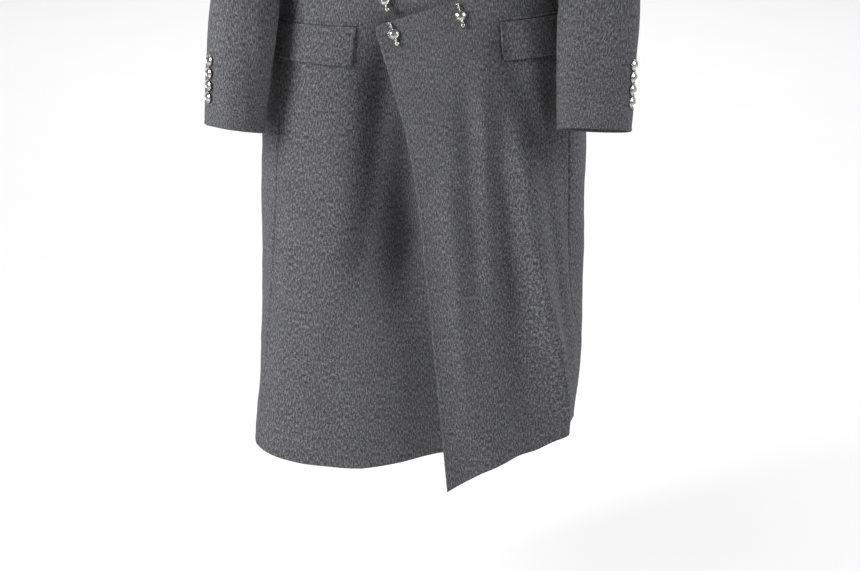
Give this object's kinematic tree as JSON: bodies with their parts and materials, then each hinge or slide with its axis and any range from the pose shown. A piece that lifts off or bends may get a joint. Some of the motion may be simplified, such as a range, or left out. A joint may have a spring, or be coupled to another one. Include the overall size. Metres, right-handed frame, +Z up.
{
  "type": "double-breasted long coat",
  "caption": "Calf-length double-breasted wool coat with peak lapels, flap pockets, metal bar pins and cuff buttons, filled out as worn, with open neck, cuffs and hem.",
  "frame": {"origin": "between the wearer's shoulders, level with the top of the shoulder seams at the neck, where the wearer's shoulders carry the coat", "axes": "+Z up, +X towards the wearer's left side, -Y out of the front of the coat"},
  "size_m": [0.6214, 0.3606, 1.2101],
  "materials": {
    "wool": "heavy melange wool with a short brushed nap, matt",
    "metal": "polished silver-coloured metal, slightly worn"
  },
  "bodies": {
    "root": {"front_left": "wool", "side_left": "wool", "back_left": "wool", "sleeve_top_left": "wool", "sleeve_under_left": "wool", "lapel_left": "wool", "pocket_flap_left": "wool", "pocket_jet_left": "wool", "cuff_button_left_1": "metal", "cuff_button_left_2": "metal", "cuff_button_left_3": "metal", "cuff_button_left_4": "metal", "front_right": "wool", "side_right": "wool", "back_right": "wool", "sleeve_top_right": "wool", "sleeve_under_right": "wool", "lapel_right": "wool", "pocket_flap_right": "wool", "pocket_jet_right": "wool", "cuff_button_right_1": "metal", "cuff_button_right_2": "metal", "cuff_button_right_3": "metal", "cuff_button_right_4": "metal", "collar": "wool", "pin_lap": "metal", "pin_top": "metal", "pin_under": "metal"}
  },
  "joints": []
}
